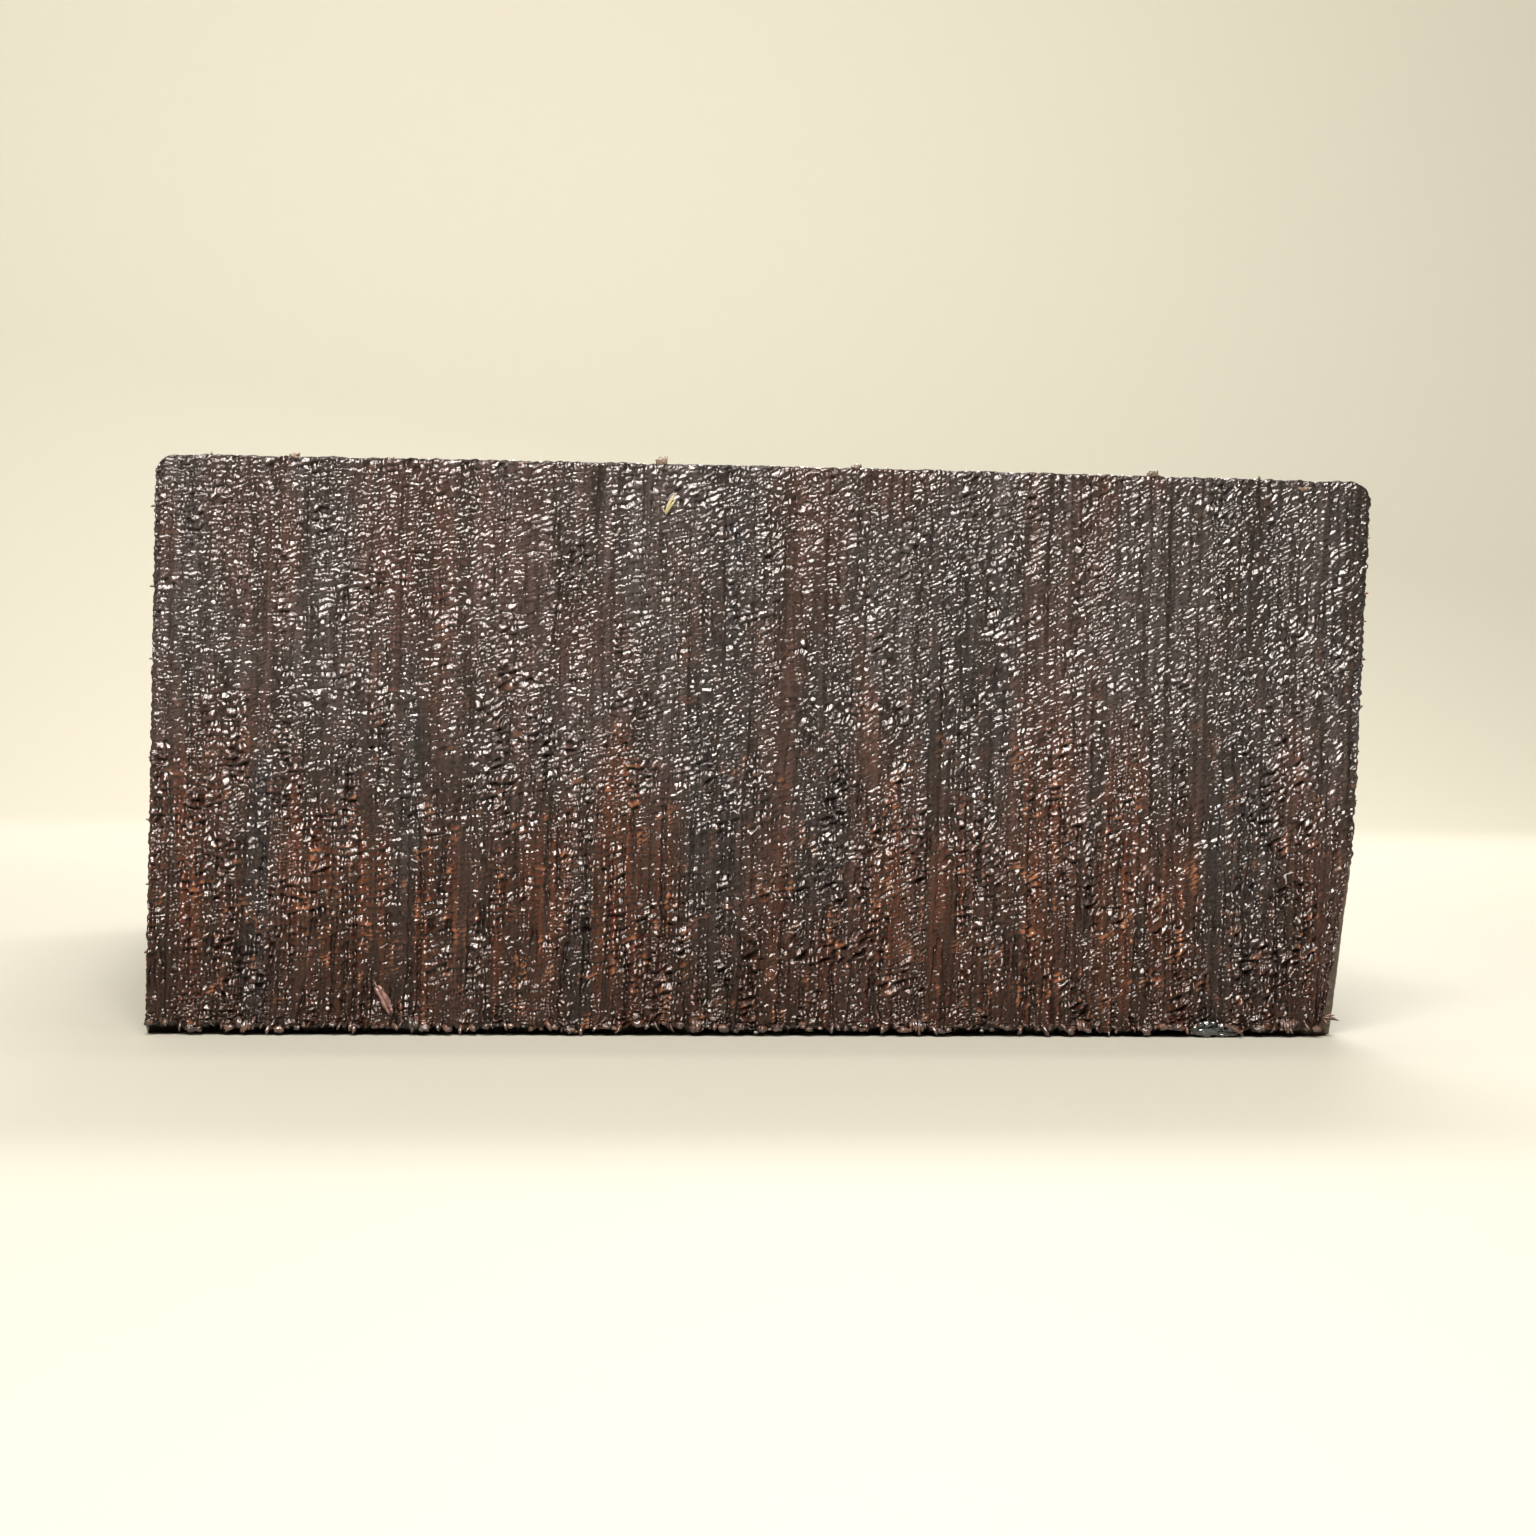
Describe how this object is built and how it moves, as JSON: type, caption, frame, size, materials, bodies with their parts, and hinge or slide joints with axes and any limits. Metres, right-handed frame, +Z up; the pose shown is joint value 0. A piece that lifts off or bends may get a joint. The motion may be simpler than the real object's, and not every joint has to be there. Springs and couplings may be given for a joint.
{
  "type": "sawn timber block",
  "caption": "Short rectangular softwood block, dark-stained and gloss-varnished, with a rough crosscut end, eased top arrises and torn fibres along the bottom front edge.",
  "frame": {"origin": "middle of the underside, on the surface the block rests on", "axes": "+Z up, +Y along the grain away from the torn end, +X across the width towards the chipped corner"},
  "size_m": [0.0949, 0.1505, 0.0448],
  "materials": {
    "varnished_wood": "dark brown to black stain under a thick gloss varnish",
    "bare_splinter": "pinkish softwood under clear gloss",
    "pale_wood": "unstained pale yellow softwood",
    "wood_crumb": "half-stained sawdust crumbs under gloss",
    "torn_fibre": "stained loose fibre, glossy",
    "cured_finish": "clear cured varnish, wet-looking gloss"
  },
  "bodies": {
    "root": {"timber_block": "varnished_wood", "embedded_splinter": "bare_splinter", "pale_shaving": "pale_wood", "top_edge_crumbs": "wood_crumb", "tear_out_tufts": "torn_fibre", "corner_splinter": "torn_fibre", "finish_run": "cured_finish"}
  },
  "joints": []
}
